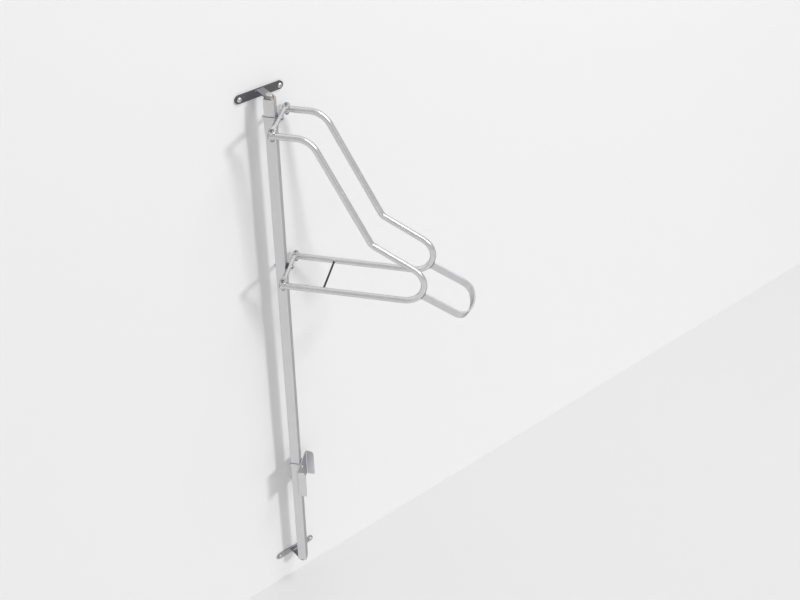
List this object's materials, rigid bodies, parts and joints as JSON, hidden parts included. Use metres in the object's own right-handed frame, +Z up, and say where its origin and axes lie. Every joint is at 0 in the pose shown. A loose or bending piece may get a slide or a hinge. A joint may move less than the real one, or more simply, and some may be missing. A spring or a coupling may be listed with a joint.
{
  "type": "bicycle hanger rack",
  "caption": "Wall rack that hangs a bicycle upright: a post pivots between wall brackets and carries a bent-tube wheel cradle with a U strap, and a folded-sheet rest for the lower wheel.",
  "frame": {"origin": "the centre of the lower wall bar's back face, which lies on the wall, midway between its two screw holes", "axes": "+Z up along the wall; +X along the wall, to the right for someone who faces the wall; -Y straight out of the wall. At rest the rack is swung 40 degrees about +Z from straight out, as pictured."},
  "size_m": [0.4944, 0.5303, 1.911],
  "materials": {
    "zinc": "satin zinc plating",
    "dark_zinc": "dull zinc in shade, slightly darker steel",
    "bright_zinc": "bright zinc-plated fasteners and pins",
    "bronze": "plain sintered bearing bronze",
    "grey_plastic": "matt grey moulded caps"
  },
  "bodies": {
    "brackets": {"upper_wall_bar": "dark_zinc", "lower_wall_bar": "dark_zinc", "upper_tongue": "zinc", "lower_tongue": "zinc", "upper_pivot_pin": "bright_zinc", "lower_pivot_pin": "bright_zinc"},
    "rack": {"upper_bush": "bronze", "lower_bush": "bronze", "upper_plug": "zinc", "lower_plug": "zinc", "post": "zinc", "upper_sleeve": "zinc", "rest_sleeve": "zinc", "upper_cross_tube": "zinc", "lower_cross_tube": "zinc", "lower_saddle": "dark_zinc", "left_hoop": "zinc", "right_hoop": "zinc", "leg_caps": "grey_plastic", "tie_rod": "dark_zinc", "wheel_strap": "zinc", "wheel_rest": "zinc", "cradle_bolts": "bright_zinc", "cradle_washers": "zinc", "cradle_nuts": "bright_zinc", "rest_bolts": "bright_zinc", "rest_nuts": "bright_zinc"}
  },
  "joints": [
    {"name": "rack_swing", "type": "hinge", "parent": "brackets", "child": "rack", "pos_m": [0, -0.053, 0], "axis": [0, 0, 1], "range_deg": [-85, 5]}
  ]
}
